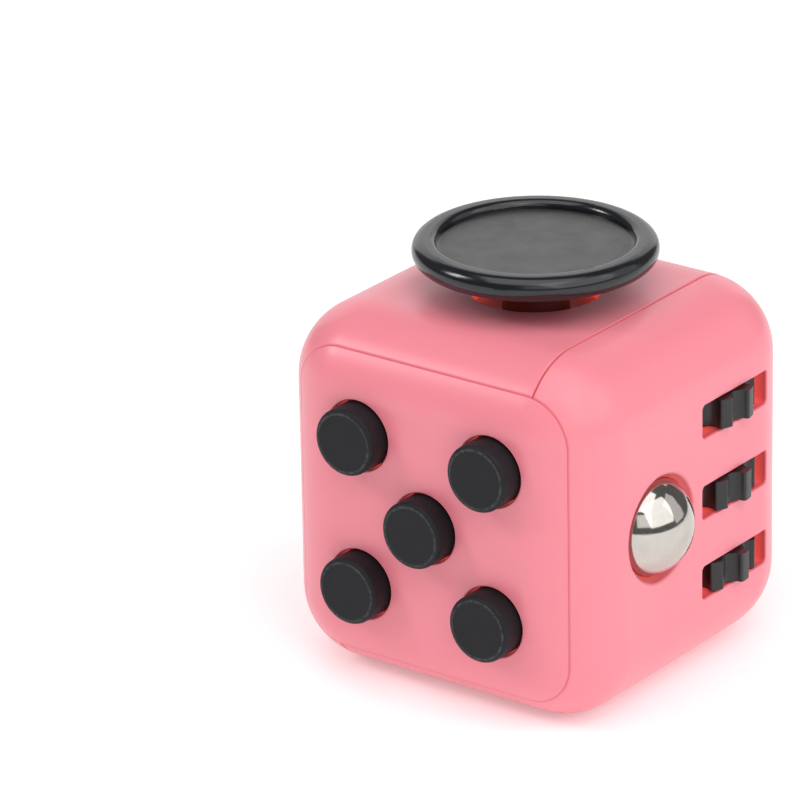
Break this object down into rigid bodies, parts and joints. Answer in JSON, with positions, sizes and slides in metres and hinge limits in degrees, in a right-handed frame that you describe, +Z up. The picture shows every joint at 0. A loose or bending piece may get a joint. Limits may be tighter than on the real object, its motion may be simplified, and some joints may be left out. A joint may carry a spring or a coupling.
{
  "type": "fidget cube",
  "caption": "Palm-sized desk cube with click buttons, thumb gears, a rolling ball, a gliding disc, a rocker, a dial and a thumb recess on its faces.",
  "frame": {"origin": "middle of the flat bottom face, under the middle of the cube", "axes": "+Z up to the gliding disc; -Y out of the face with the buttons; +X out of the face with the gears and ball"},
  "size_m": [0.0379, 0.037, 0.0377],
  "materials": {
    "pink_housing": "glossy, slightly translucent",
    "black_cap": "matte, soft touch",
    "black_gear": "satin",
    "black_moving": "satin",
    "chrome_ball": "polished",
    "spring_steel": "bright",
    "screw_steel": "satin",
    "white_inner": "satin",
    "board": "satin",
    "silicone": "matte"
  },
  "bodies": {
    "housing": {"click_panel": "pink_housing", "spin_panel": "pink_housing", "lower_shell": "pink_housing", "upper_shell": "pink_housing", "click_dome_centre": "spring_steel", "click_dome_upper_left": "spring_steel", "silent_pad_upper_right": "silicone", "silent_pad_lower_left": "silicone", "click_dome_lower_right": "spring_steel", "click_board": "board", "click_screws": "screw_steel", "gear_cradle": "white_inner", "gear_axle": "screw_steel", "cradle_screws": "screw_steel", "gear_click_leaf": "spring_steel", "ball_spring": "spring_steel", "ball_barrel": "white_inner", "ball_screws": "screw_steel", "glide_tray": "white_inner", "tray_screws": "screw_steel", "glide_spring": "spring_steel", "flip_pin": "screw_steel", "flip_bracket": "white_inner", "flip_screws": "screw_steel", "flip_leaf": "spring_steel", "spin_leaf": "spring_steel"},
    "click_button_centre": {"click_button_centre": "black_cap"},
    "click_button_upper_left": {"click_button_upper_left": "black_cap"},
    "click_button_upper_right": {"click_button_upper_right": "black_cap"},
    "click_button_lower_left": {"click_button_lower_left": "black_cap"},
    "click_button_lower_right": {"click_button_lower_right": "black_cap"},
    "gear_upper": {"gear_upper": "black_gear"},
    "gear_middle": {"gear_middle": "black_gear"},
    "gear_lower": {"gear_lower": "black_gear"},
    "ball_cup": {"ball_cup": "white_inner"},
    "ball": {"ball": "chrome_ball"},
    "glide_carriage": {"glide_carriage": "white_inner"},
    "glide_disc": {"glide_disc": "black_moving", "glide_saucer": "white_inner", "glide_screw": "screw_steel"},
    "flip_rocker": {"flip_rocker": "black_moving"},
    "spin_dial": {"spin_dial": "black_moving", "spin_wheel": "white_inner", "spin_screw": "screw_steel"}
  },
  "joints": [
    {"name": "click_press_centre", "type": "slide", "parent": "housing", "child": "click_button_centre", "axis": [0, 1, 0], "range_m": [0, 0.0008], "stiffness_N_per_m": 1500, "deforming": ["click_dome_centre"]},
    {"name": "click_press_upper_left", "type": "slide", "parent": "housing", "child": "click_button_upper_left", "axis": [0, 1, 0], "range_m": [0, 0.0008], "stiffness_N_per_m": 1500, "deforming": ["click_dome_upper_left"]},
    {"name": "click_press_upper_right", "type": "slide", "parent": "housing", "child": "click_button_upper_right", "axis": [0, 1, 0], "range_m": [0, 0.0008], "stiffness_N_per_m": 900, "deforming": ["silent_pad_upper_right"]},
    {"name": "click_press_lower_left", "type": "slide", "parent": "housing", "child": "click_button_lower_left", "axis": [0, 1, 0], "range_m": [0, 0.0008], "stiffness_N_per_m": 900, "deforming": ["silent_pad_lower_left"]},
    {"name": "click_press_lower_right", "type": "slide", "parent": "housing", "child": "click_button_lower_right", "axis": [0, 1, 0], "range_m": [0, 0.0008], "stiffness_N_per_m": 1500, "deforming": ["click_dome_lower_right"]},
    {"name": "gear_turn_upper", "type": "hinge", "parent": "housing", "child": "gear_upper", "pos_m": [0.01215, 0.00599, 0.02395], "axis": [0, 0, 1], "continuous": true},
    {"name": "gear_turn_middle", "type": "hinge", "parent": "housing", "child": "gear_middle", "pos_m": [0.01215, 0.00599, 0.0165], "axis": [0, 0, 1], "continuous": true, "deforming": ["gear_click_leaf"]},
    {"name": "gear_turn_lower", "type": "hinge", "parent": "housing", "child": "gear_lower", "pos_m": [0.01215, 0.00599, 0.00905], "axis": [0, 0, 1], "continuous": true},
    {"name": "ball_push", "type": "slide", "parent": "housing", "child": "ball_cup", "axis": [-1, 0, 0], "range_m": [0, 0.0008], "stiffness_N_per_m": 1200, "deforming": ["ball_spring"]},
    {"name": "ball_roll", "type": "hinge", "parent": "ball_cup", "child": "ball", "pos_m": [0.0145, -0.00518, 0.0165], "axis": [0, 0, 1], "continuous": true},
    {"name": "glide_across", "type": "slide", "parent": "housing", "child": "glide_carriage", "axis": [1, 0, 0], "range_m": [-0.0019, 0.0019], "stiffness_N_per_m": 260, "deforming": ["glide_spring"]},
    {"name": "glide_along", "type": "slide", "parent": "glide_carriage", "child": "glide_disc", "axis": [0, 1, 0], "range_m": [-0.0019, 0.0019], "stiffness_N_per_m": 260, "deforming": ["glide_spring"]},
    {"name": "flip_rock", "type": "hinge", "parent": "housing", "child": "flip_rocker", "pos_m": [-0.0136, 0, 0.0165], "axis": [0, -1, 0], "range_deg": [0, 20], "deforming": ["flip_leaf"]},
    {"name": "spin_turn", "type": "hinge", "parent": "housing", "child": "spin_dial", "pos_m": [0, 0.0175, 0.0165], "axis": [0, 1, 0], "continuous": true, "deforming": ["spin_leaf"]}
  ]
}
